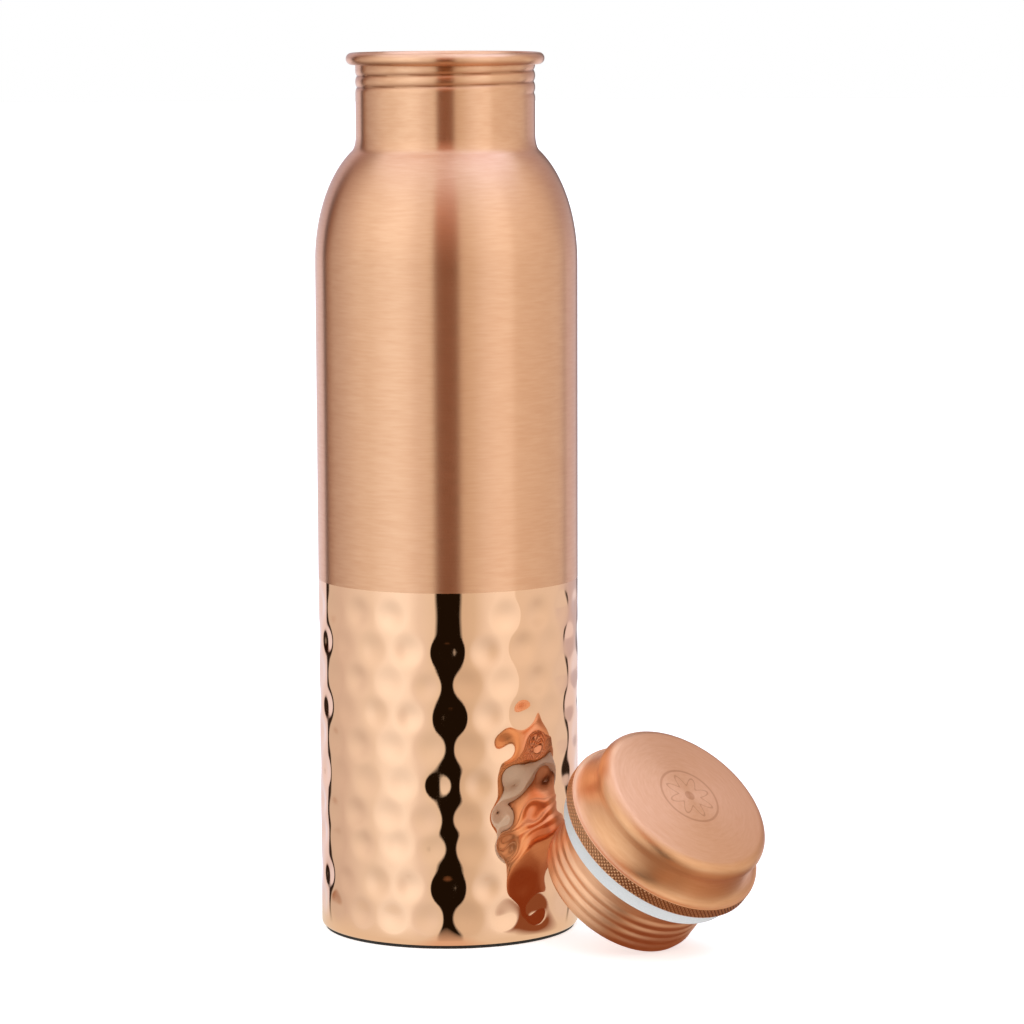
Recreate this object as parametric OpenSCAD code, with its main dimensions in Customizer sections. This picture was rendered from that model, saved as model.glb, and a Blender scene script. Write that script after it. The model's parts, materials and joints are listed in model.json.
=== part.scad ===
// Copper water bottle with its screw lid, which leans against the foot of the bottle.
// Units are millimetres. The origin is the centre of the underside, +Z runs up the bottle's axis.

/* [Bottle] */
// Height of the bottle without its lid
height = 244.1; // [235:0.1:255]
// Outer diameter at the top of the straight wall
body_d = 72.7; // [70:0.1:76]
// Outer diameter just above the foot
base_d = 72.1; // [69:0.1:75]
// Thickness of the copper sheet
sheet = 0.7; // [0.5:0.05:0.9]
// Radius of the rounded corner between the wall and the underside
foot_corner = 1; // [0.8:0.1:2]
// How far the wall's lower edge is turned in under the base disc
foot_turn_in = 4; // [2:0.5:8]
// Height at which the shoulder starts to curve in
shoulder_z = 186.4; // [180:0.1:190]
// How far the shoulder's curve reaches in towards the axis
shoulder_reach = 20; // [18:0.1:24]
// Height of the shoulder's curve, if it ran on to the axis
shoulder_rise = 35; // [32:0.1:38]
// Height of the crease between the shoulder and the neck
crease_z = 217.5; // [214:0.1:219]

/* [Neck] */
// Outer diameter of the neck
neck_d = 49.6; // [48:0.1:51]
// Height at which the neck's straight wall starts
neck_z = 221.5; // [220:0.1:223]
// Centre-line radius of the rim's outward curl
curl_r = 1.3; // [1:0.05:1.6]
// Angle at which the curl's free edge stops, under the rim
curl_end = -110; // [-120:1:-90]
// Depth of the rolled thread groove
groove_depth = 0.4; // [0.2:0.05:0.45]
// Distance between turns of the rolled thread
thread_pitch = 3; // [2.6:0.1:3.6]
// Number of groove turns round the neck
neck_turns = 2; // [1:1:3]
// Distance from the top of the bottle to the middle of the first groove
groove_drop = 6.4; // [5:0.1:8]

/* [Base] */
// Thickness of the base disc
disc_t = 0.8; // [0.6:0.1:1.2]
// Diameter of the shallow step pressed into the base disc
disc_step_d = 48; // [30:1:56]
// Height of the step pressed into the base disc
disc_step = 1.2; // [0.5:0.1:2]
// Thickness of the foot pad
pad_t = 0.8; // [0.6:0.1:1.2]
// Diameter of the foot pad
pad_d = 70.2; // [66:0.1:71]

/* [Lid cap] */
// Diameter over the knurled edge
rim_d = 58; // [56:0.1:60]
// Thickness of the knurled edge
rim_t = 3.5; // [2.9:0.1:3.9]
// Radius of the rounded corners of the knurled edge
rim_corner = 0.3; // [0.2:0.1:0.8]
// How far the sheet is folded in under the knurled edge
hem = 4.9; // [3:0.1:5.2]
// Diameter of the dome at its rounded top edge
dome_d = 51.4; // [49:0.1:53]
// Diameter of the dome at its waist, above the cove
waist_d = 50.6; // [49:0.1:52]
// Height of the flat top's edge above the gasket face
dome_h = 15.9; // [14.5:0.1:17]
// Radius of the dome's rounded top edge
dome_round = 3.4; // [1.2:0.1:3.6]
// Height of the cove between the knurled edge and the dome
cove_h = 7.5; // [5:0.1:7.5]
// How much the middle of the dome's top stands up
crown = 1; // [0.2:0.1:2]

/* [Plug] */
// Diameter of the plug's smooth wall
plug_d = 45.4; // [44:0.1:46]
// Diameter over the plug's thread ridges
ridge_d = 46.4; // [46:0.1:47.4]
// Length of the plug below the gasket face
plug_len = 22.9; // [18:0.1:24]
// Radius of the plug's rounded lower edge
plug_corner = 1.2; // [1:0.1:2.5]
// Number of thread ridges round the plug
plug_turns = 4; // [2:1:4]
// Distance from the plug's lower end to the middle of its first ridge
ridge_rise = 2.4; // [2:0.1:4]
// Thickness of the plug's flange, which is the sheet doubled
flange_t = 1.3; // [1:0.1:1.3]

/* [Gasket] */
// Outer diameter of the sealing ring
gasket_d = 53.8; // [53:0.1:57]
// Thickness of the sealing ring
gasket_t = 5.2; // [3:0.1:6]
// Radius of the sealing ring's edges
gasket_edge = 0.5; // [0.2:0.1:1]
// Clearance that lets the lid turn inside the sealing ring
gasket_gap = 0.3; // [0.2:0.05:0.5]

/* [Where the lid lies] */
// Tilt of the lid's axis from upright, in degrees
lid_tilt = 42.2; // [30:0.1:50]
// Direction in which the lid's top tips, in degrees from +X
lid_heading = -45; // [-90:1:0]
// Sideways place of the lid's gasket face
lid_x = 57.1; // [50:0.1:80]
// Front-to-back place of the lid's gasket face
lid_y = -37.7; // [-60:0.1:0]

/* [Hidden] */
$fn = 96;
fit_gap = 0.05;      // clearance between pieces that are brazed or crimped
seat_gap = 0.1;      // clearance between the gasket and the faces it lies against
copper = [0.80, 0.50, 0.35];
copper_dark = [0.72, 0.43, 0.29];
body_r = body_d / 2;
base_r = base_d / 2;
neck_r = neck_d / 2;
bore_r = neck_r - sheet;
pad_r = pad_d / 2;
curl_x = bore_r + curl_r + sheet / 2;
curl_z = height - curl_r - sheet / 2;
curl_in = curl_r - sheet / 2;
curl_out = curl_r + sheet / 2;
shoulder_x = body_r - shoulder_reach;
// The shoulder's curve ends where it reaches the crease
shoulder_end = asin((crease_z - shoulder_z) / shoulder_rise);
crease_r = shoulder_x + shoulder_reach * cos(shoulder_end);
// The fillet over the crease is the arc that touches the neck and passes through the crease
flare_in = crease_r - neck_r;
flare_drop = neck_z - crease_z;
flare_r = (flare_in * flare_in + flare_drop * flare_drop) / (2 * flare_in);
flare_angle = asin(flare_drop / flare_r);
rim_r = rim_d / 2;
dome_r = dome_d / 2;
waist_r = waist_d / 2;
cove_x = rim_r - rim_corner;
cove_w = cove_x - waist_r;
cove_z = rim_t + cove_h;
plug_r = plug_d / 2;
ridge_r = ridge_d / 2;
// Height of the lid's gasket face when the plug's lower edge stands on the table
lid_z = (plug_len - plug_corner) * cos(lid_tilt) + (plug_r - plug_corner) * sin(lid_tilt) + plug_corner;

// Points along an arc of an ellipse, in the plane of radius and height
function oval(x, z, a, b, from, to, steps) =
    [for (i = [0 : steps]) let (t = from + (to - from) * i / steps) [x + a * cos(t), z + b * sin(t)]];

// Points along an arc of a circle
function arc(x, z, r, from, to, steps) = oval(x, z, r, r, from, to, steps);

// Puts a piece of the lid, drawn upright on its gasket face, where the lid leans on the bottle
module lean() {
    translate([lid_x, lid_y, lid_z]) rotate([0, lid_tilt, lid_heading]) children();
}

// One ring of round section about the Z axis
module ring(r, z, section_r) {
    translate([0, 0, z]) rotate_extrude() translate([r, 0]) circle(r = section_r, $fn = 24);
}

// The seamless copper sheet of the bottle, in section
module shell_section() {
    outer = concat(
        [[base_r - foot_corner - foot_turn_in, pad_t]],
        arc(base_r - foot_corner, pad_t + foot_corner, foot_corner, -90, 0, 6),
        oval(shoulder_x, shoulder_z, shoulder_reach, shoulder_rise, 0, shoulder_end, 24),
        arc(neck_r + flare_r, neck_z, flare_r, 180 + flare_angle, 180, 6),
        arc(curl_x, curl_z, curl_in, 180, curl_end, 24)
    );
    inner = concat(
        arc(curl_x, curl_z, curl_out, curl_end, 180, 24),
        arc(neck_r + flare_r, neck_z, flare_r + sheet, 180, 180 + flare_angle, 6),
        oval(shoulder_x, shoulder_z, shoulder_reach - sheet, shoulder_rise - sheet, shoulder_end - 1.5, 0, 24),
        arc(base_r - foot_corner, pad_t + foot_corner, foot_corner - sheet, 0, -90, 4),
        [[base_r - foot_corner - foot_turn_in, pad_t + sheet]]
    );
    polygon(concat(outer, inner));
}

// Wall, shoulder, neck and curled rim, drawn and spun from one sheet
module body_shell() {
    color(copper) difference() {
        rotate_extrude() shell_section();
        for (i = [0 : neck_turns - 1])
            ring(neck_r + 1 - groove_depth, height - groove_drop - i * thread_pitch, 1);
    }
}

// Pressed disc that closes the lower end, lying on the wall's turned-in edge
module base_disc() {
    disc_z = pad_t + sheet;
    disc_r = base_r - sheet - fit_gap;
    step_r = disc_step_d / 2;
    color(copper_dark) rotate_extrude() polygon([
        [0, disc_z + disc_step],
        [step_r - disc_step, disc_z + disc_step],
        [step_r, disc_z],
        [disc_r, disc_z],
        [disc_r, disc_z + disc_t],
        [step_r, disc_z + disc_t],
        [step_r - disc_step, disc_z + disc_step + disc_t],
        [0, disc_z + disc_step + disc_t]
    ]);
}

// Thin black non-slip pad under the bottle
module foot_pad() {
    color([0.06, 0.05, 0.05]) cylinder(r = pad_r, h = pad_t);
}

// Sealing ring that lies against the underside of the lid's edge
module gasket() {
    r_out = gasket_d / 2;
    r_in = plug_r + gasket_gap;
    z_low = -seat_gap - gasket_t;
    e = gasket_edge;
    color([0.86, 0.88, 0.89]) lean() rotate_extrude() polygon(concat(
        arc(r_out - e, z_low + e, e, -90, 0, 4),
        arc(r_out - e, -seat_gap - e, e, 0, 90, 4),
        [[r_in, -seat_gap], [r_in, z_low]]
    ));
}

// Copper cap: dome, cove and knurled edge, folded in under the plug's flange
module cap_shell() {
    outer = concat(
        [[rim_r - hem, 0]],
        arc(rim_r - rim_corner, rim_corner, rim_corner, -90, 0, 4),
        arc(rim_r - rim_corner, rim_t - rim_corner, rim_corner, 0, 90, 4),
        oval(cove_x, cove_z, cove_w, cove_h, 270, 180, 12),
        arc(dome_r - dome_round, dome_h - dome_round, dome_round, 0, 90, 10),
        [[0, dome_h + crown]]
    );
    inner = concat(
        [[0, dome_h + crown - sheet]],
        arc(dome_r - dome_round, dome_h - dome_round, dome_round - sheet, 90, 0, 8),
        oval(cove_x, cove_z, cove_w + sheet, cove_h + sheet, 180, 263, 12),
        [[rim_r - sheet, rim_t - sheet], [rim_r - sheet, sheet], [rim_r - hem, sheet]]
    );
    color(copper) lean() rotate_extrude() polygon(concat(outer, inner));
}

// Copper cup with rolled thread ridges, whose flange is crimped inside the cap's edge
module lid_plug() {
    flange_r = rim_r - sheet - fit_gap;
    flange_low = sheet + fit_gap;
    color(copper_dark) lean() {
        rotate_extrude() polygon(concat(
            [[0, -plug_len]],
            arc(plug_r - plug_corner, plug_corner - plug_len, plug_corner, -90, 0, 6),
            [
                [plug_r, flange_low],
                [flange_r, flange_low],
                [flange_r, flange_low + flange_t],
                [plug_r - sheet, flange_low + flange_t]
            ],
            arc(plug_r - plug_corner, plug_corner - plug_len, plug_corner - sheet, 0, -90, 6),
            [[0, sheet - plug_len]]
        ));
        for (i = [0 : plug_turns - 1])
            intersection() {
                ring(plug_r - 0.2, ridge_rise + i * thread_pitch - plug_len, ridge_r - plug_r + 0.2);
                translate([0, 0, -plug_len]) difference() {
                    cylinder(r = ridge_r + 1, h = plug_len);
                    translate([0, 0, -1]) cylinder(r = plug_r - sheet / 2, h = plug_len + 2);
                }
            }
    }
}

body_shell();
base_disc();
foot_pad();
gasket();
cap_shell();
lid_plug();
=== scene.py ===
# Looks of the copper water bottle and its screw lid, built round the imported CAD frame.
# Lengths inside the profile functions are millimetres; every mesh is made in metres in the row frame.
import json
import math

import bpy
import numpy as np
from mathutils import Matrix, Vector


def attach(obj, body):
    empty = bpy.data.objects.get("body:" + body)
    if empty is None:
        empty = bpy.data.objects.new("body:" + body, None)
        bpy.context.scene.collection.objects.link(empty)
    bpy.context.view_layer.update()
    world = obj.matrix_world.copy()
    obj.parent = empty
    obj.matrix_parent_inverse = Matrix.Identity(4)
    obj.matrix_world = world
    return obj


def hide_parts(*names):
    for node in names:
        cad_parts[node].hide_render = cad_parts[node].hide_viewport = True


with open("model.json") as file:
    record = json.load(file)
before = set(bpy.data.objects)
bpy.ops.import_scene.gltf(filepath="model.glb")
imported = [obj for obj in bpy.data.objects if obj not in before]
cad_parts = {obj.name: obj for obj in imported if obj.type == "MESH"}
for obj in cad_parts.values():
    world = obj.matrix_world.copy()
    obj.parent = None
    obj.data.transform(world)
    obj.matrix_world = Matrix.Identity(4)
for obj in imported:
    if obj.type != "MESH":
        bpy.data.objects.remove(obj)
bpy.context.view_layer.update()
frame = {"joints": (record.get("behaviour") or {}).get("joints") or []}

MM = 0.001

# ---- Sizes that the CAD parts have, in millimetres ----
SHEET = 0.7
PAD_T, PAD_R = 0.8, 35.1
FOOT_CORNER, FOOT_TURN_IN = 1.0, 4.0
BASE_R, BODY_R = 36.05, 36.35
SHOULDER_Z, SHOULDER_X, SHOULDER_REACH, SHOULDER_RISE = 186.4, 16.35, 20.0, 35.0
CREASE_Z, NECK_Z, NECK_R = 217.5, 221.5, 24.8
CURL_R, CURL_END = 1.3, -110
CURL_STEPS = 24          # rings round the curl's outside
HEIGHT = 244.1
BORE_R = NECK_R - SHEET
CURL_X = BORE_R + CURL_R + SHEET / 2
CURL_Z = HEIGHT - CURL_R - SHEET / 2
DISC_T, DISC_STEP_R, DISC_STEP = 0.8, 24.0, 1.2
RIM_R, RIM_T, RIM_CORNER, HEM = 29.0, 3.5, 0.3, 4.9
DOME_R, WAIST_R, DOME_H, DOME_ROUND = 25.7, 25.3, 15.9, 3.4
COVE_W, COVE_H, CROWN = RIM_R - RIM_CORNER - WAIST_R, 7.5, 1.0
PLUG_R, RIDGE_R, PLUG_LEN, PLUG_CORNER, FLANGE_T = 22.7, 23.2, 22.9, 1.2, 1.3
GASKET_R, GASKET_T, GASKET_IN, GASKET_EDGE, SEAT_GAP = 26.9, 5.2, 23.0, 0.5, 0.1
FIT_GAP = 0.05

# ---- Where the lid leans: its joint's axis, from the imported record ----
lid_joint = next(j for j in frame["joints"] if j["name"] == "lid_turn")
LID_ORIGIN = Vector(lid_joint["pos_m"])
LID_AXIS = Vector(lid_joint["axis"]).normalized()
LID_TILT = math.acos(LID_AXIS.z)
LID_HEADING = math.atan2(LID_AXIS.y, LID_AXIS.x)
LEAN = (
    Matrix.Translation(LID_ORIGIN)
    @ Matrix.Rotation(LID_HEADING, 4, "Z")
    @ Matrix.Rotation(LID_TILT, 4, "Y")
)

# ---- Surface detail ----
SHARP = 42               # edges that turn more than this stay crisp, in degrees
FINISH_Z = 98.5          # height at which the brushed finish gives way to the hammered, polished one
WALL_R = 34              # both faces of the wall lie outside this radius
NEAR = 0.01              # how close a point is to a line of the profile that it lies on
HAMMERED_FROM = (2.2, 4.5)   # heights between which the hammering fades in above the foot

# Dimples, in rows from the top down. A row's shift is in dimples, and 0 puts one before the camera
DIMPLES_PER_ROW = 21
DIMPLE_R = 5.5
DIMPLE_DEPTH = (0.36, 0.56)
ROW_HEIGHT = (92.0, 82.5, 73.3, 64.2, 55.8, 46.0, 36.3, 28.0, 17.0, 8.75)
ROW_SHIFT = (0.5, 0.97, 0.45, 0.0, 0.47, 0.735, 0.4, 0.55, 0.95, 0.45)
SCATTER = (0.03, 0.3, 0.04, 0.05)   # how much a dimple's turn, height, radius and depth vary
# How hard each row is struck within FRONT degrees of the camera's side
ROW_FORCE = (0.05, 1.15, 0.65, 1.1, 0.68, 0.96, 0.62, 0.58, 1.1, 0.7)
FRONT = 22
# Sides of the wall that are struck half as hard, in degrees from the camera's side
LIGHT_BLOWS = ((-66, -46), (49, 86))

# Threads of the neck and the plug. Where they fade in and out is in turns
THREAD_PITCH, THREAD_START, THREAD_DEPTH, THREAD_SHARPNESS = 3.1, 233.05, 0.45, 2.4
THREAD_FROM, THREAD_TO, THREAD_FADE = -0.15, 2.05, 0.2
THREAD_LOW, THREAD_HIGH = 229.8, 241.4   # heights between which the neck has enough rings for it
PLUG_PITCH, PLUG_START, PLUG_THREAD_TOP = 2.9, 2.6, -6
PLUG_FADE_IN, PLUG_FADE_OUT = (-0.35, 0.0), (3.2, 3.5)

# Knurl: a groove is 1 / KNURL_FLANK of the pitch wide
KNURLS, KNURL_DEPTH, KNURL_FLANK = 141, 0.34, 2.2

# The lid's plain ornament, in millimetres from its middle
PETALS, PETAL_R, PETAL_REACH, HEART_R, RING_R = 8, 5.4, 1.7, 1.2, 8.9
STROKE = (0.2, 0.45)     # half the engraved line's width, full and faded out


def oval(x, z, a, b, start, end, steps):
    """Points of an ellipse's arc, in (radius, height)."""
    t = np.radians(np.linspace(start, end, steps + 1))
    return np.stack([x + a * np.cos(t), z + b * np.sin(t)], 1)


def arc(x, z, r, start, end, steps):
    """Points of a circle's arc, in (radius, height)."""
    return oval(x, z, r, r, start, end, steps)


def line(p, q, steps, first=False):
    """Points from p to q, without p unless first."""
    t = np.linspace(0, 1, steps + 1)[0 if first else 1 :, None]
    return np.array(p, float) * (1 - t) + np.array(q, float) * t


def smoothstep(x, low, high):
    t = np.clip((x - low) / (high - low), 0, 1)
    return t * t * (3 - 2 * t)


def revolve(name, profile, n, shape=None, zone=None, place=None):
    """A closed mesh spun about Z from a profile in millimetres, either a loop or a path from axis to axis.
    shape(theta, r, z) gives the displaced radii and heights, and zone(i, height) the material index of
    each band. The mesh's attributes are grain, each point's place round and along the plain surface,
    local, its place before the lean, and pressed, how far it is pressed in, in millimetres."""
    same = 1e-6
    profile = np.asarray(profile, float)
    keep = np.ones(len(profile), bool)
    keep[1:] = np.linalg.norm(np.diff(profile, axis=0), axis=1) > same
    profile = profile[keep]
    poles = profile[0, 0] < same and profile[-1, 0] < same
    if not poles and np.linalg.norm(profile[0] - profile[-1]) < same:
        profile = profile[:-1]
    rings = len(profile)
    theta = np.arange(n) * (2 * math.pi / n)
    r = np.repeat(profile[:, :1], n, 1)
    z = np.repeat(profile[:, 1:], n, 1)
    grid = np.repeat(theta[None, :], rings, 0)
    plain_r = r
    if shape is not None:
        r, z = shape(grid, r, z)
    pressed = plain_r - r
    steps = np.linalg.norm(np.diff(np.vstack([profile, profile[:1]]), axis=0), axis=1)
    run = np.concatenate([[0], np.cumsum(steps)])
    xyz = np.stack([r * np.cos(grid), r * np.sin(grid), z], -1) * MM
    radius = max(profile[:, 0])
    grain = np.stack(
        [radius * np.cos(grid), radius * np.sin(grid), np.repeat(run[:rings, None], n, 1)], -1
    ) * MM
    if poles:
        points = np.concatenate([xyz[:1, 0], xyz[1:-1].reshape(-1, 3), xyz[-1:, 0]])
        grains = np.concatenate([grain[:1, 0], grain[1:-1].reshape(-1, 3), grain[-1:, 0]])
        pressed = np.concatenate([pressed[:1, 0], pressed[1:-1].ravel(), pressed[-1:, 0]])
        index = np.arange((rings - 2) * n).reshape(rings - 2, n) + 1
        last = len(points) - 1
    else:
        points, grains = xyz.reshape(-1, 3), grain.reshape(-1, 3)
        index = np.arange(rings * n).reshape(rings, n)
    faces, uvs, bands = [], [], []
    along = run / run[-1]

    def band(a, b, i):
        for j in range(n):
            k = (j + 1) % n
            faces.append((int(a[j]), int(a[k]), int(b[k]), int(b[j])))
            here, there, start, end = along[i], along[i + 1], j / n, (j + 1) / n
            uvs.extend([(here, start), (here, end), (there, end), (there, start)])
            bands.append(i)

    if poles:
        for j in range(n):
            k = (j + 1) % n
            faces.append((0, int(index[0][k]), int(index[0][j])))
            uvs.extend([(0, (j + 0.5) / n), (along[1], (j + 1) / n), (along[1], j / n)])
            bands.append(0)
        for i in range(rings - 3):
            band(index[i], index[i + 1], i + 1)
        for j in range(n):
            k = (j + 1) % n
            faces.append((int(index[-1][j]), int(index[-1][k]), last))
            uvs.extend([(along[-3], j / n), (along[-3], (j + 1) / n), (along[-2], (j + 0.5) / n)])
            bands.append(rings - 2)
    else:
        for i in range(rings):
            band(index[i], index[(i + 1) % rings], i)
    mesh = bpy.data.meshes.new(name)
    local = points.copy()
    if place is not None:
        m = np.array(place)
        points = points @ m[:3, :3].T + m[:3, 3]
    mesh.from_pydata(points.tolist(), [], faces)
    layer = mesh.uv_layers.new(name="Brush")
    layer.data.foreach_set("uv", np.array(uvs, np.float32).ravel())
    for label, values in (("grain", grains), ("local", local)):
        stored = mesh.attributes.new(label, "FLOAT_VECTOR", "POINT")
        stored.data.foreach_set("vector", values.astype(np.float32).ravel())
    stored = mesh.attributes.new("pressed", "FLOAT", "POINT")
    stored.data.foreach_set("value", pressed.astype(np.float32).ravel())
    mesh.polygons.foreach_set("use_smooth", [True] * len(faces))
    if zone is not None:
        heights = (profile[:, 1] + np.roll(profile[:, 1], -1)) / 2
        mesh.polygons.foreach_set("material_index", [zone(i, heights[i]) for i in bands])
    mesh.set_sharp_from_angle(angle=math.radians(SHARP))
    mesh.validate()
    mesh.update()
    ob = bpy.data.objects.new(name, mesh)
    bpy.context.scene.collection.objects.link(ob)
    return ob


# ---- Hammered dimples ----
rng = np.random.default_rng(7)
mean_depth = np.mean(DIMPLE_DEPTH)
dimples = []
for row_height, shift, force in zip(ROW_HEIGHT, ROW_SHIFT, ROW_FORCE):
    for col in range(DIMPLES_PER_ROW):
        jitter = rng.normal(0, 1, 4) * SCATTER
        angle = -math.pi / 2 + 2 * math.pi * (col + shift + jitter[0]) / DIMPLES_PER_ROW
        height = row_height + jitter[1]
        radius = DIMPLE_R * (1 + jitter[2])
        depth = np.clip(mean_depth + jitter[3], *DIMPLE_DEPTH)
        turn = math.degrees((angle + math.pi / 2 + math.pi) % (2 * math.pi) - math.pi)
        if abs(turn) < FRONT:
            depth = mean_depth * force
        if any(start < turn < end for start, end in LIGHT_BLOWS):
            depth *= 0.5
        dimples.append((angle, height, radius, depth))


def dimple_depth(theta, z):
    """How far the hammered wall is pressed in, in millimetres."""
    pressed = np.zeros_like(theta)
    for angle, height, radius, depth in dimples:
        band = np.abs(z[:, 0] - height) < radius
        if not band.any():
            continue
        turn = (theta[band] - angle + math.pi) % (2 * math.pi) - math.pi
        d = np.hypot(turn * BODY_R, z[band] - height) / radius
        pressed[band] += depth * np.where(d < 1, (1 + np.cos(math.pi * np.minimum(d, 1))) / 2, 0)
    return pressed


def thread_depth(theta, z):
    """The rolled thread of the neck: a helical groove that fades in and out."""
    turns = (z - THREAD_START) / THREAD_PITCH - theta / (2 * math.pi)
    whole = np.round(turns)
    along = whole + theta / (2 * math.pi)
    away = np.abs(turns - whole) * 2
    starts = smoothstep(along, THREAD_FROM, THREAD_FROM + THREAD_FADE)
    ends = smoothstep(along, THREAD_TO, THREAD_TO + THREAD_FADE)
    return THREAD_DEPTH * starts * (1 - ends) * (1 - away) ** THREAD_SHARPNESS


def shell_shape(theta, r, z):
    """The sheet with its dimples and its thread, which both go through to the inside."""
    low = z < FINISH_Z + 1
    r = r - np.where(low & (r > WALL_R), dimple_depth(theta, z) * smoothstep(z, *HAMMERED_FROM), 0)
    neck = (z > THREAD_LOW - NEAR) & (z < THREAD_HIGH + NEAR)
    r = r - np.where(neck & (r < NECK_R + NEAR), thread_depth(theta, z), 0)
    return r, z


def bottle_profile():
    """The sheet's outside from the foot up to the curl, then its inside back down, and the outside's length.
    Near the crease the arcs stop a little short of each other, which rounds it."""
    end = math.degrees(math.asin((CREASE_Z - SHOULDER_Z) / SHOULDER_RISE))
    crease_r = SHOULDER_X + SHOULDER_REACH * math.cos(math.radians(end))
    inward, drop = crease_r - NECK_R, NECK_Z - CREASE_Z
    flare = (inward * inward + drop * drop) / (2 * inward)
    turn = math.degrees(math.asin(drop / flare))
    foot_x, foot_z = BASE_R - FOOT_CORNER, PAD_T + FOOT_CORNER
    taper = (BODY_R - BASE_R) / (SHOULDER_Z - foot_z)
    finish_r = BASE_R + taper * (FINISH_Z - foot_z)
    outer = [
        line((foot_x - FOOT_TURN_IN, PAD_T), (foot_x, PAD_T), 2, True),
        arc(foot_x, foot_z, FOOT_CORNER, -90, 0, 6)[1:],
        line((BASE_R, foot_z), (finish_r, FINISH_Z), 120),
        line((finish_r, FINISH_Z), (BODY_R, SHOULDER_Z), 10),
        oval(SHOULDER_X, SHOULDER_Z, SHOULDER_REACH, SHOULDER_RISE, 0, end - 0.8, 34)[1:],
        arc(NECK_R + flare, NECK_Z, flare, 180 + turn - 3, 180, 6),
        line((NECK_R, NECK_Z), (NECK_R, THREAD_LOW), 3),
        line((NECK_R, THREAD_LOW), (NECK_R, THREAD_HIGH), 38),
        arc(CURL_X, CURL_Z, CURL_R - SHEET / 2, 180, CURL_END, 10),
    ]
    flare_in = flare + SHEET
    inner = [
        arc(CURL_X, CURL_Z, CURL_R + SHEET / 2, CURL_END, 180, CURL_STEPS),
        line((BORE_R, THREAD_HIGH), (BORE_R, THREAD_LOW), 24),
        line((BORE_R, THREAD_LOW), (BORE_R, NECK_Z), 1),
        arc(NECK_R + flare, NECK_Z, flare_in, 180, 180 + turn, 4)[1:],
        oval(SHOULDER_X, SHOULDER_Z, SHOULDER_REACH - SHEET, SHOULDER_RISE - SHEET, end - 1.5, 0, 18),
        line((BODY_R - SHEET, SHOULDER_Z), (finish_r - SHEET, FINISH_Z), 4),
        line((finish_r - SHEET, FINISH_Z), (BASE_R - SHEET, foot_z), 30),
        arc(foot_x, foot_z, FOOT_CORNER - SHEET, 0, -90, 3)[1:],
        line((foot_x, PAD_T + SHEET), (foot_x - FOOT_TURN_IN, PAD_T + SHEET), 2),
    ]
    return np.vstack(outer + inner), sum(len(p) for p in outer)


def cap_profile():
    """The cap's inside from the axis out, its folded edge, and its outside back to the axis."""
    cove_x, cove_z = WAIST_R + COVE_W, RIM_T + COVE_H
    edge_x, edge_z = DOME_R - DOME_ROUND, DOME_H - DOME_ROUND
    top_r = np.linspace(edge_x, 0, 22)[1:]
    top = np.stack([top_r, DOME_H + CROWN * (1 - (top_r / edge_x) ** 2)], 1)
    under = top[::-1] - [0, SHEET]
    return np.vstack([
        under,
        arc(edge_x, edge_z, DOME_ROUND - SHEET, 90, 0, 8),
        oval(cove_x, cove_z, COVE_W + SHEET, COVE_H + SHEET, 180, 263, 10),
        [(RIM_R - SHEET, RIM_T - SHEET), (RIM_R - SHEET, SHEET), (RIM_R - HEM, SHEET), (RIM_R - HEM, 0)],
        arc(RIM_R - RIM_CORNER, RIM_CORNER, RIM_CORNER, -90, 0, 4),
        line((RIM_R, RIM_CORNER), (RIM_R, RIM_T - RIM_CORNER), 9),   # fine enough for the knurl's grooves
        arc(RIM_R - RIM_CORNER, RIM_T - RIM_CORNER, RIM_CORNER, 0, 90, 4),
        oval(cove_x, cove_z, COVE_W, COVE_H, 270, 184, 22),
        arc(edge_x, edge_z, DOME_ROUND, -9, 85, 16),
        top,
    ])


def knurl(theta, r, z):
    """Crossed diagonal grooves pressed into the rim's edge, which fade out at its two corners."""
    band = smoothstep(z, 0.05, 0.25) * (1 - smoothstep(z, RIM_T - 0.3, RIM_T - 0.1))
    pitch = 2 * math.pi * RIM_R / KNURLS
    turn, climb = theta * KNURLS / (2 * math.pi), (z - RIM_CORNER) / pitch
    a = np.abs((turn + climb) % 1 - 0.5) * 2
    b = np.abs((turn - climb) % 1 - 0.5) * 2
    groove = np.maximum(np.clip(1 - KNURL_FLANK * a, 0, 1), np.clip(1 - KNURL_FLANK * b, 0, 1))
    return r - np.where(r > RIM_R - RIM_CORNER, KNURL_DEPTH * band * groove, 0), z


def plug_profile():
    """The plug's outside from its underside up to the flange in the rim's fold, then its inside back down."""
    low = PLUG_CORNER - PLUG_LEN
    flange_low, flange_r = SHEET + FIT_GAP, RIM_R - SHEET - FIT_GAP
    return np.vstack([
        line((0, -PLUG_LEN), (PLUG_R - PLUG_CORNER, -PLUG_LEN), 5, True),
        arc(PLUG_R - PLUG_CORNER, low, PLUG_CORNER, -90, 0, 6)[1:],
        line((PLUG_R, low), (PLUG_R, PLUG_THREAD_TOP), 64),
        line((PLUG_R, PLUG_THREAD_TOP), (PLUG_R, flange_low), 3),
        line((PLUG_R, flange_low), (flange_r, flange_low), 2),
        [(flange_r, flange_low + FLANGE_T)],
        line((flange_r, flange_low + FLANGE_T), (PLUG_R - SHEET, flange_low + FLANGE_T), 2),
        line((PLUG_R - SHEET, flange_low + FLANGE_T), (PLUG_R - SHEET, low), 20),
        arc(PLUG_R - PLUG_CORNER, low, PLUG_CORNER - SHEET, 0, -90, 4)[1:],
        line((PLUG_R - PLUG_CORNER, SHEET - PLUG_LEN), (0, SHEET - PLUG_LEN), 3),
    ])


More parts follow.
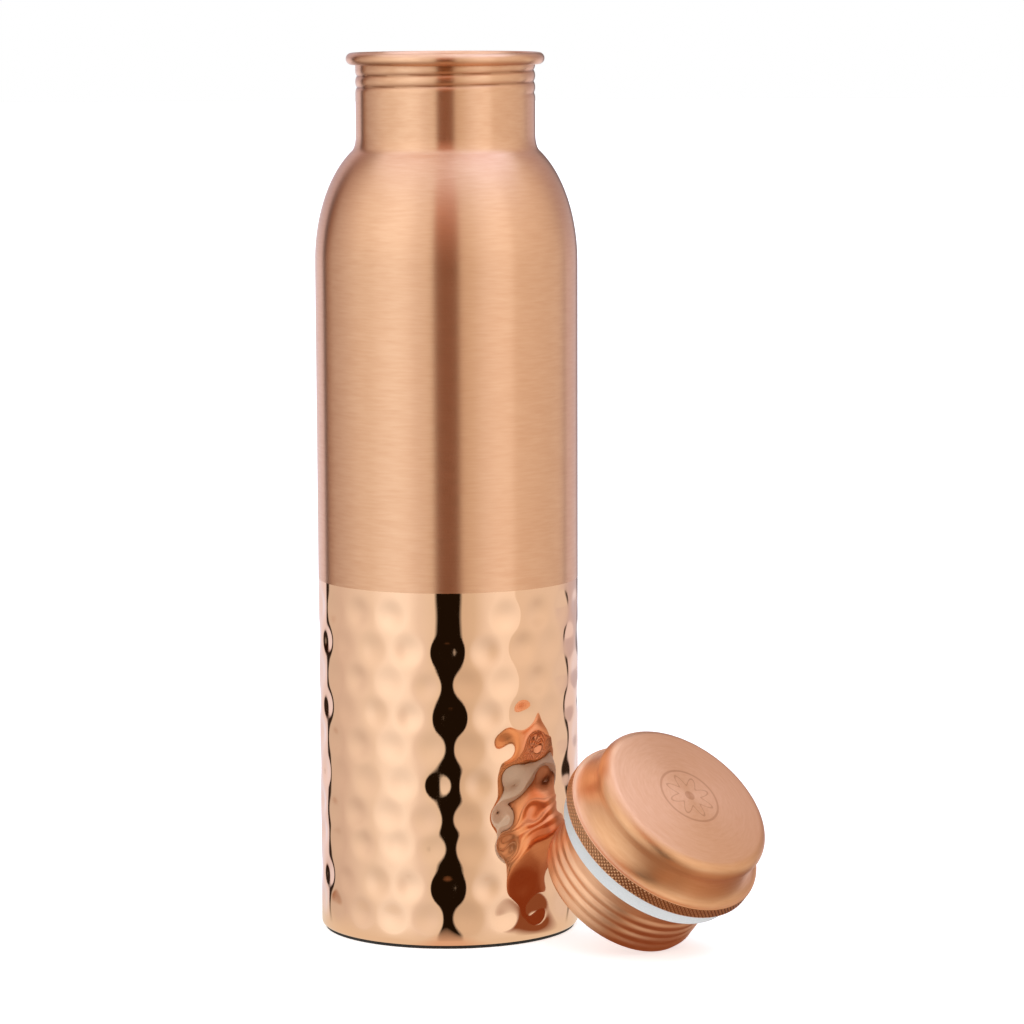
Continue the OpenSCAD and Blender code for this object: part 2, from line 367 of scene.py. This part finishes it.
def plug_thread(theta, r, z):
    """Soft helical ridges that run up the plug from just above its lower edge."""
    turns = (z + PLUG_LEN - PLUG_START) / PLUG_PITCH - theta / (2 * math.pi)
    whole = np.round(turns)
    along = whole + theta / (2 * math.pi)
    fade = smoothstep(along, *PLUG_FADE_IN) * (1 - smoothstep(along, *PLUG_FADE_OUT))
    wave = (0.5 + 0.5 * np.cos(2 * math.pi * (turns - whole))) ** 0.8
    wall = np.abs(r - PLUG_R) < NEAR
    return r + np.where(wall, (RIDGE_R - PLUG_R) * fade * wave, 0), z


# ---- Node helpers ----
def nodes_of(owner):
    """An empty node tree for a material or world."""
    owner.use_nodes = True
    owner.node_tree.nodes.clear()
    return owner.node_tree


def add(tree, kind, **options):
    node = tree.nodes.new("ShaderNode" + kind)
    for key, value in options.items():
        setattr(node, key, value)
    return node


def link(tree, value, socket):
    """Links an output, or sets a plain value."""
    if isinstance(value, bpy.types.NodeSocket):
        tree.links.new(value, socket)
    elif value is not None:
        socket.default_value = value


def maths(tree, operation, a, b=None):
    node = add(tree, "Math", operation=operation)
    link(tree, a, node.inputs[0])
    link(tree, b, node.inputs[1])
    return node.outputs[0]


def ramp(tree, factor, stops):
    """Colour ramp from (position, colour or grey) stops. A move sorts the elements, so each moves twice."""
    node = add(tree, "ValToRGB")
    elements = node.color_ramp.elements
    while len(elements) < len(stops):
        elements.new(0.5)
    for element, (position, _) in zip(elements, stops):
        element.position = position
    for element, (position, colour) in zip(elements, stops):
        rgb = (colour,) * 3 if isinstance(colour, (int, float)) else colour
        element.position = position
        element.color = (*rgb, 1)
    link(tree, factor, node.inputs[0])
    return node.outputs[0]


def mix(tree, factor, a, b, blend="MIX"):
    """Mixes two colours, each an output or a plain (r, g, b). Inputs 6 and 7 are the node's colours."""
    node = add(tree, "Mix", data_type="RGBA", blend_type=blend)
    link(tree, factor, node.inputs[0])
    for socket, value in ((node.inputs[6], a), (node.inputs[7], b)):
        link(tree, (*value, 1) if isinstance(value, tuple) else value, socket)
    return node.outputs[2]


def to_range(tree, value, low, high, new_low, new_high):
    node = add(tree, "MapRange")
    link(tree, value, node.inputs[0])
    for socket, number in zip(node.inputs[1:5], (low, high, new_low, new_high)):
        socket.default_value = number
    return node.outputs[0]


def noise(tree, vector, stretch, detail):
    """Noise with its own scale, per metre, along each direction of the vector."""
    scaled = add(tree, "Mapping")
    link(tree, vector, scaled.inputs[0])
    scaled.inputs["Scale"].default_value = stretch
    node = add(tree, "TexNoise")
    link(tree, scaled.outputs[0], node.inputs["Vector"])
    node.inputs["Scale"].default_value = 1
    node.inputs["Detail"].default_value = detail
    return node.outputs[0]


def attribute(tree, name):
    return add(tree, "Attribute", attribute_name=name).outputs["Vector"]


def bump(tree, height, strength, distance):
    node = add(tree, "Bump")
    node.inputs["Strength"].default_value = strength
    node.inputs["Distance"].default_value = distance
    link(tree, height, node.inputs["Height"])
    return node.outputs[0]


def principled(tree, **values):
    """A material's one shader and its output; an underscore in a name stands for the socket's space."""
    shader = add(tree, "BsdfPrincipled")
    for key, value in values.items():
        link(tree, value, shader.inputs[key.replace("_", " ")])
    out = add(tree, "OutputMaterial")
    link(tree, shader.outputs[0], out.inputs[0])
    return shader


def rosette(tree):
    """Mask of a plain flower in a ring, drawn round the lid's middle."""
    local = add(tree, "SeparateXYZ")
    link(tree, attribute(tree, "local"), local.inputs[0])
    x, y = local.outputs[0], local.outputs[1]
    squares = maths(tree, "ADD", maths(tree, "MULTIPLY", x, x), maths(tree, "MULTIPLY", y, y))
    radius = maths(tree, "MULTIPLY", maths(tree, "SQRT", squares), 1 / MM)
    wave = maths(tree, "COSINE", maths(tree, "MULTIPLY", maths(tree, "ARCTAN2", y, x), PETALS))
    outline = maths(tree, "ADD", maths(tree, "MULTIPLY", wave, PETAL_REACH), PETAL_R)
    petals = maths(tree, "ABSOLUTE", maths(tree, "SUBTRACT", radius, outline))
    edge = maths(tree, "ABSOLUTE", maths(tree, "SUBTRACT", radius, RING_R))
    heart = maths(tree, "SUBTRACT", radius, HEART_R)
    nearest = maths(tree, "MINIMUM", maths(tree, "MINIMUM", petals, edge), heart)
    return to_range(tree, nearest, *STROKE, 1, 0)


def copper(name, bright, deep, rough, anisotropy=0.0, brush=0.0, crease=None, ornament=False):
    """Copper with brushed lines along each ring of the turned part and a slow drift of tone.
    crease gives the pressed-in depths, in millimetres, where darkening starts and ends, and its strength.
    That darkening is partly tarnish in the grooves and partly painted shade."""
    drift = 0.25
    contrast = 1.1 if brush else 0.1
    middle = (drift + contrast) / 2 if brush else 0.4
    material = bpy.data.materials.new(name)
    tree = nodes_of(material)
    grain = attribute(tree, "grain")
    cloud = noise(tree, grain, (45, 45, 45), 3)
    streak = noise(tree, grain, (170, 170, 1500), 3)
    fine = noise(tree, grain, (60, 60, 9000), 2)
    lines = maths(tree, "ADD", maths(tree, "MULTIPLY", streak, 0.75), maths(tree, "MULTIPLY", fine, 0.25))
    tone = maths(tree, "ADD", maths(tree, "MULTIPLY", cloud, drift), maths(tree, "MULTIPLY", lines, contrast))
    colour = mix(tree, to_range(tree, tone, middle - 0.2, middle + 0.2, 0, 1), bright, deep)
    # Grooves darker by their depth: partly tarnish, partly painted shade
    if crease:
        start, full, strength = crease
        pressed = add(tree, "Attribute", attribute_name="pressed").outputs["Fac"]
        colour = mix(tree, to_range(tree, pressed, start, full, 0, strength), colour, GROOVE_TARNISH_AND_SHADE)
    if ornament:
        colour = mix(tree, maths(tree, "MULTIPLY", rosette(tree), 0.55), colour, ENGRAVED)
    shader = principled(
        tree,
        Base_Color=colour,
        Metallic=1.0,
        Roughness=to_range(tree, lines, 0.3, 0.7, *rough),
        Anisotropic=anisotropy,
    )
    if anisotropy:
        tangent = add(tree, "Tangent", direction_type="UV_MAP", uv_map="Brush")
        link(tree, tangent.outputs[0], shader.inputs["Tangent"])
    if brush:
        link(tree, bump(tree, lines, brush, 0.00002), shader.inputs["Normal"])
    return material


# Colour of the grooves' darkening: tarnish, with painted shade of their depth
GROOVE_TARNISH_AND_SHADE = (0.30, 0.10, 0.04)
ENGRAVED = (0.50, 0.22, 0.10)

polished = copper("copper_polished", (0.955, 0.615, 0.41), (0.925, 0.575, 0.375), rough=(0.03, 0.05))
# The neck's thread and the lid's knurl get darker grooves: tarnish and painted shade
brushed = copper(
    "copper_brushed", (0.93, 0.57, 0.36), (0.88, 0.51, 0.31), rough=(0.285, 0.34),
    anisotropy=0.95, brush=0.25, crease=(0.15, THREAD_DEPTH, 0.7),
)
inside = copper("copper_inside", (0.86, 0.49, 0.30), (0.74, 0.38, 0.22), rough=(0.3, 0.4), brush=0.2)
lid_copper = copper(
    "copper_lid_satin", (0.83, 0.46, 0.25), (0.78, 0.41, 0.21), rough=(0.33, 0.41),
    anisotropy=0.6, brush=0.25, crease=(0.02, 0.6 * KNURL_DEPTH, 0.95), ornament=True,
)
plug_copper = copper(
    "copper_plug_satin", (0.92, 0.55, 0.34), (0.85, 0.47, 0.28), rough=(0.35, 0.43),
    anisotropy=0.5, brush=0.3,
)


def plain(name, light, dark, rough, speckle, depth):
    """A non-metal with a fine speckle of tone and relief, speckle per metre and depth in metres."""
    material = bpy.data.materials.new(name)
    tree = nodes_of(material)
    local = attribute(tree, "local")
    grit = noise(tree, local, (speckle,) * 3, 3)
    cloud = noise(tree, local, (70, 70, 70), 2)
    tone = maths(tree, "ADD", maths(tree, "MULTIPLY", grit, 0.5), maths(tree, "MULTIPLY", cloud, 0.5))
    principled(
        tree,
        Base_Color=mix(tree, to_range(tree, tone, 0.35, 0.65, 0, 1), light, dark),
        Roughness=to_range(tree, grit, 0.3, 0.7, *rough),
        Normal=bump(tree, grit, 0.2, depth),
    )
    return material


silicone = plain("silicone_white", (0.595, 0.635, 0.62), (0.515, 0.56, 0.55), (0.42, 0.55), 2500, 0.00005)
rubber = plain("rubber_black", (0.012, 0.010, 0.010), (0.006, 0.005, 0.005), (0.55, 0.75), 1500, 0.0001)

# ---- Pieces ----
profile, outer_rows = bottle_profile()


def shell_zone(i, height):
    """0 brushed, 1 polished, 2 inside, which starts where the curl ends."""
    if i >= outer_rows + CURL_STEPS:
        return 2
    return 1 if height < FINISH_Z else 0


shell = revolve("bottle_shell", profile, 288, shape=shell_shape, zone=shell_zone)
for material in (brushed, polished, inside):
    shell.data.materials.append(material)
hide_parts("body_shell")
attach(shell, "bottle")

disc_z = PAD_T + SHEET
disc_top = disc_z + DISC_T
disc_r = BASE_R - SHEET - FIT_GAP
raised_r = DISC_STEP_R - DISC_STEP
disc = revolve("inner_base_disc", np.vstack([
    line((0, disc_z + DISC_STEP), (raised_r - 0.5, disc_z + DISC_STEP), 6, True),
    line((raised_r, disc_z + DISC_STEP - 0.2), (DISC_STEP_R - 0.2, disc_z + 0.2), 3, True),
    line((DISC_STEP_R + 0.3, disc_z), (disc_r, disc_z), 4, True),
    line((disc_r, disc_z), (disc_r, disc_top), 2),
    line((disc_r, disc_top), (DISC_STEP_R + 0.3, disc_top), 4),
    line((DISC_STEP_R - 0.2, disc_top + 0.2), (raised_r, disc_top + DISC_STEP - 0.2), 3, True),
    line((raised_r - 0.5, disc_top + DISC_STEP), (0, disc_top + DISC_STEP), 6, True),
]), 128)
disc.data.materials.append(inside)
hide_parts("base_disc")
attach(disc, "bottle")

RIB_PITCH, RIB_DEPTH, PAD_EDGE = 2.4, 0.12, 0.2
rib_r = np.linspace(0, PAD_R - 1.2, 120)
ribs = np.stack([rib_r, RIB_DEPTH * (0.5 - 0.5 * np.cos(2 * math.pi * rib_r / RIB_PITCH))], 1)
pad = revolve("foot_pad_black", np.vstack([
    ribs,
    line((PAD_R - 1.0, 0), (PAD_R - PAD_EDGE, 0), 1, True),
    arc(PAD_R - PAD_EDGE, PAD_EDGE, PAD_EDGE, -90, 0, 3)[1:],
    [(PAD_R, PAD_T - 0.1), (PAD_R - 0.1, PAD_T)],
    line((PAD_R - 0.1, PAD_T), (0, PAD_T), 4),
]), 160)
pad.data.materials.append(rubber)
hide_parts("foot_pad")
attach(pad, "bottle")

edge, inner_edge = GASKET_EDGE, 0.3
seal_top, seal_low = -SEAT_GAP, -SEAT_GAP - GASKET_T
seal = revolve("silicone_gasket", np.vstack([
    arc(GASKET_R - edge, seal_low + edge, edge, -90, 0, 6),
    line((GASKET_R, seal_low + edge), (GASKET_R, seal_top - edge), 3),
    arc(GASKET_R - edge, seal_top - edge, edge, 0, 90, 6),
    line((GASKET_R - edge, seal_top), (GASKET_IN + inner_edge, seal_top), 2),
    arc(GASKET_IN + inner_edge, seal_top - inner_edge, inner_edge, 90, 180, 3),
    arc(GASKET_IN + inner_edge, seal_low + inner_edge, inner_edge, 180, 270, 3),
]), 192, place=LEAN)
seal.data.materials.append(silicone)
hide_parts("gasket")
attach(seal, "seal")

cap = revolve("lid_cap_shell", cap_profile(), KNURLS * 4, shape=knurl, place=LEAN)
cap.data.materials.append(lid_copper)
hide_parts("cap_shell")
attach(cap, "lid")

plug = revolve("lid_screw_plug", plug_profile(), 288, shape=plug_thread, place=LEAN)
plug.data.materials.append(plug_copper)
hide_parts("lid_plug")
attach(plug, "lid")

# ---- Floor ----
half = 8.0
corners = [(-half, -half, 0), (half, -half, 0), (half, half, 0), (-half, half, 0)]
floor_mesh = bpy.data.meshes.new("floor")
floor_mesh.from_pydata(corners, [], [(0, 1, 2, 3)])
floor = bpy.data.objects.new("floor", floor_mesh)
bpy.context.scene.collection.objects.link(floor)
paper = bpy.data.materials.new("pale_floor")
tree = nodes_of(paper)
principled(
    tree, Base_Color=(0.9, 0.9, 0.9, 1), Roughness=0.9,
    Emission_Color=(1, 1, 1, 1), Emission_Strength=0.6,
)
floor_mesh.materials.append(paper)
floor.visible_glossy = False


def floor_disc(name, centre, radius, height, colour, front=None):
    """A flat glowing disc with a soft edge that only reflections show, for what the copper sees of the floor.
    With a warm colour it is painted light, with a dark one painted shadow. front is its colour along its
    middle, on the line from the camera, a painted reflection there."""
    sides = 72
    turn = np.arange(sides) * (2 * math.pi / sides)
    mesh = bpy.data.meshes.new(name)
    rim = [(radius * math.cos(t), radius * math.sin(t), 0) for t in turn]
    mesh.from_pydata(rim, [], [tuple(range(sides))])
    spot = bpy.data.objects.new(name, mesh)
    spot.location = (*centre, height)
    bpy.context.scene.collection.objects.link(spot)
    material = bpy.data.materials.new(name)
    tree = nodes_of(material)
    place = add(tree, "TexCoord").outputs["Object"]
    length = add(tree, "VectorMath", operation="LENGTH")
    link(tree, place, length.inputs[0])
    if front:
        across = add(tree, "SeparateXYZ")
        link(tree, place, across.inputs[0])
        off_middle = maths(tree, "ABSOLUTE", across.outputs[0])
        colour = mix(tree, to_range(tree, off_middle, 0.004, 0.013, 0, 1), front, colour)
    else:
        colour = (*colour, 1)
    principled(
        tree, Base_Color=(0, 0, 0, 1), Specular_IOR_Level=0.0,
        Emission_Color=colour, Emission_Strength=1.0,
        Alpha=to_range(tree, length.outputs["Value"], 0.65 * radius, radius, 1, 0),
    )
    mesh.materials.append(material)
    spot.visible_camera = spot.visible_diffuse = spot.visible_shadow = False


# Painted light: a warm glowing disc under the bottle. Painted shadow: a dark disc where the lid's shade falls
floor_disc("painted_floor_glow", (0, 0), 0.066, 0.0001, (0.82, 0.76, 0.66), front=(0.75, 0.54, 0.41))
floor_disc("painted_lid_shadow", (0.053, -0.036), 0.024, 0.0002, (0.26, 0.09, 0.04))

# ---- Studio light, by direction. 0 degrees is where the camera stands, positive to its right ----
world = bpy.data.worlds.new("studio")
bpy.context.scene.world = world
tree = nodes_of(world)
direction = add(tree, "SeparateXYZ")
link(tree, add(tree, "TexCoord").outputs["Generated"], direction.inputs[0])
azimuth = maths(tree, "ARCTAN2", direction.outputs[0], maths(tree, "MULTIPLY", direction.outputs[1], -1.0))
around = to_range(tree, azimuth, -math.pi, math.pi, 0, 1)
elevation = to_range(tree, maths(tree, "ARCSINE", direction.outputs[2]), -math.pi / 2, math.pi / 2, 0, 1)


def at(degrees):
    """A ramp's position for a direction round the bottle."""
    return 0.5 + degrees / 360


def up(degrees):
    """A ramp's position for a height above the horizon."""
    return 0.5 + degrees / 180


LINE = (0.03, 0.02, 0.015)
GAP = (0.012, 0.007, 0.003)

# The panels round the bottle, and how much brighter they are higher up
sides = ramp(tree, around, [
    (at(-180), (0.87, 0.83, 0.92)),
    (at(-139.5), (0.87, 0.83, 0.92)),
    (at(-138.5), LINE),
    (at(-132.5), LINE),
    (at(-131.5), (0.68, 0.62, 0.56)),
    (at(-112), (0.69, 0.63, 0.6)),
    (at(-88), (0.82, 0.79, 0.76)),
    (at(-72), (0.88, 0.86, 0.82)),
    (at(-60), (1.0, 1.01, 1.0)),
    (at(-46), (1.06, 1.09, 1.09)),
    (at(-36), (1.03, 1.04, 1.03)),
    (at(-26), (0.87, 0.84, 0.81)),
    (at(-12), (0.81, 0.77, 0.69)),
    (at(14), (0.70, 0.62, 0.52)),
    (at(22), (0.73, 0.66, 0.56)),
    (at(33), (0.88, 0.84, 0.79)),
    (at(44), (0.98, 0.96, 0.92)),
    (at(61), (0.98, 0.95, 0.90)),
    (at(62), (0.82, 0.755, 0.67)),
    (at(113), (0.79, 0.74, 0.69)),
    (at(136), (0.60, 0.53, 0.58)),
    (at(158), (0.59, 0.53, 0.59)),
    (at(164), (0.22, 0.19, 0.20)),
    (at(171), (0.22, 0.19, 0.20)),
    (at(176), (0.95, 0.92, 0.95)),
])
lift = ramp(tree, elevation, [
    (up(-90), (0.56, 0.40, 0.31)),
    (up(-45), (0.46, 0.31, 0.23)),
    (up(-35), (0.52, 0.38, 0.30)),
    (up(-25), 0.84),
    (up(-8), 1.03),
    (up(6), 1.14),
    (up(20), 1.28),
    (up(38), 1.02),
    (up(60), 0.9),
])
panels = mix(tree, 1.0, sides, lift, "MULTIPLY")

# Behind the bottle, the panels are darker above and below the height that the polished wall reflects
behind = ramp(tree, around, [
    (at(-180), 1), (at(-126), 1), (at(-108), 0.5), (at(-84), 0),
    (at(60), 0), (at(98), 0.5), (at(118), 1), (at(180), 1),
])
left_tone = ramp(tree, elevation, [
    (up(-60), (0.6, 0.5, 0.44)),
    (up(-24), (0.62, 0.54, 0.5)),
    (up(-13), 1.0),
    (up(-6), 1.0),
    (up(5), (0.48, 0.43, 0.45)),
    (up(20), (0.57, 0.51, 0.51)),
    (up(34), (0.59, 0.44, 0.42)),
    (up(46), 0.85),
])
right_tone = ramp(tree, elevation, [
    (up(-60), (0.95, 0.9, 0.9)),
    (up(-36), (0.75, 0.66, 0.62)),
    (up(-25), (0.60, 0.5, 0.46)),
    (up(-15), 1.0),
    (up(-3), 1.0),
    (up(8), (0.56, 0.5, 0.46)),
    (up(20), (0.66, 0.61, 0.58)),
    (up(36), (0.85, 0.79, 0.81)),
    (up(46), 1.0),
])
behind_tone = mix(tree, ramp(tree, around, [(0.499, 0), (0.501, 1)]), left_tone, right_tone)
panels = mix(tree, behind, panels, mix(tree, 1.0, panels, behind_tone, "MULTIPLY"))

# Low down, they are darker on the left than on the right
tilt = ramp(tree, around, [
    (at(-180), 1.0), (at(-90), 0.9), (at(-45), 0.8), (at(0), 1.0),
    (at(60), 1.35), (at(110), 1.45), (at(150), 1.5), (at(180), 1.1),
])
below = ramp(tree, elevation, [(up(-37), 1), (up(-25), 0)])
panels = mix(tree, below, panels, mix(tree, 1.0, panels, tilt, "MULTIPLY"))

# A dark upright at the back left, seen above and below the height of the polished wall's reflection
upright = maths(
    tree, "MULTIPLY",
    ramp(tree, around, [(at(-141), 0), (at(-136), 1), (at(-128), 1), (at(-120), 0)]),
    ramp(tree, elevation, [
        (up(-35), 0), (up(-20), 1), (up(-14), 1), (up(-12.5), 0),
        (up(-6.5), 0), (up(-5), 1), (up(12), 1), (up(30), 0.5), (up(45), 0),
    ]),
)
panels = mix(tree, upright, panels, mix(tree, 1.0, panels, (0.58, 0.29, 0.16), "MULTIPLY"))

# Low on the right, a dark upright with a white panel behind it
low_right = ramp(tree, around, [
    (at(110), (0.79, 0.74, 0.69)),
    (at(126), (0.80, 0.75, 0.71)),
    (at(127), LINE),
    (at(131.5), LINE),
    (at(132.5), (0.84, 0.78, 0.83)),
    (at(180), (0.90, 0.86, 0.92)),
])
low_mask = maths(
    tree, "MULTIPLY",
    ramp(tree, around, [(at(110), 0), (at(116), 1)]),
    ramp(tree, elevation, [(up(-26), 0), (up(-22), 1), (up(-9.2), 1), (up(-8.3), 0)]),
)
panels = mix(tree, low_mask, panels, low_right)

# The dark gap between the panels, where the camera stands, warm above and below
gap_mask = ramp(tree, around, [(at(-11.8), 0), (at(-10.8), 1), (at(10.8), 1), (at(11.8), 0)])
gap_colour = ramp(tree, elevation, [
    (up(-60), (0.60, 0.38, 0.26)),
    (up(-34), (0.58, 0.26, 0.12)),
    (up(-25), GAP),
    (up(9), GAP),
    (up(17), (0.66, 0.18, 0.025)),
    (up(32), (0.60, 0.19, 0.04)),
    (up(48), (0.74, 0.60, 0.48)),
])
walls = mix(tree, gap_mask, panels, gap_colour)

# Above the panels hangs a bright ceiling, cooler on the right
ceiling = ramp(tree, elevation, [(up(41), 0), (up(51), 1)])
overhead = ramp(tree, around, [
    (at(-180), (1.35, 1.40, 1.70)),
    (at(-160), (1.30, 1.35, 1.60)),
    (at(-140), (1.00, 0.97, 1.10)),
    (at(-120), (1.12, 1.14, 1.38)),
    (at(-97), (1.18, 1.20, 1.42)),
    (at(-65), (1.12, 1.14, 1.35)),
    (at(-34), (1.04, 1.04, 1.18)),
    (at(0), (1.00, 0.98, 1.14)),
    (at(35), (1.12, 1.18, 1.45)),
    (at(65), (1.25, 1.38, 1.90)),
    (at(105), (1.32, 1.44, 2.05)),
    (at(128), (1.25, 1.36, 1.85)),
    (at(145), (1.24, 1.45, 2.00)),
    (at(180), (1.35, 1.40, 1.70)),
])
whole = mix(tree, ceiling, walls, overhead)

# The backdrop itself is plain white
seen = mix(tree, add(tree, "LightPath").outputs["Is Camera Ray"], whole, (1.0, 1.0, 1.0))
background = add(tree, "Background")
link(tree, seen, background.inputs[0])
out = add(tree, "OutputWorld")
link(tree, background.outputs[0], out.inputs[0])

# ---- Camera: the photograph's viewing angle ----
CAMERA_AT = Vector((0, -1.25, 0.26671))
YAW, PITCH, ROLL = math.radians(0.8211), math.radians(6.856), math.radians(-0.2408)
forward = Vector((math.sin(YAW) * math.cos(PITCH), math.cos(YAW) * math.cos(PITCH), -math.sin(PITCH)))
right = Vector((math.cos(YAW), -math.sin(YAW), 0))
above = right.cross(forward)
x_axis = math.cos(ROLL) * right + math.sin(ROLL) * above
y_axis = -math.sin(ROLL) * right + math.cos(ROLL) * above
data = bpy.data.cameras.new("camera")
data.sensor_width = 36
data.lens = 158.66
data.clip_start, data.clip_end = 0.05, 60
camera = bpy.data.objects.new("camera", data)
bpy.context.scene.collection.objects.link(camera)
turned = Matrix((x_axis, y_axis, -forward)).transposed().to_4x4()
camera.matrix_world = Matrix.Translation(CAMERA_AT) @ turned
bpy.context.scene.camera = camera

bpy.context.scene.view_settings.view_transform = "Standard"
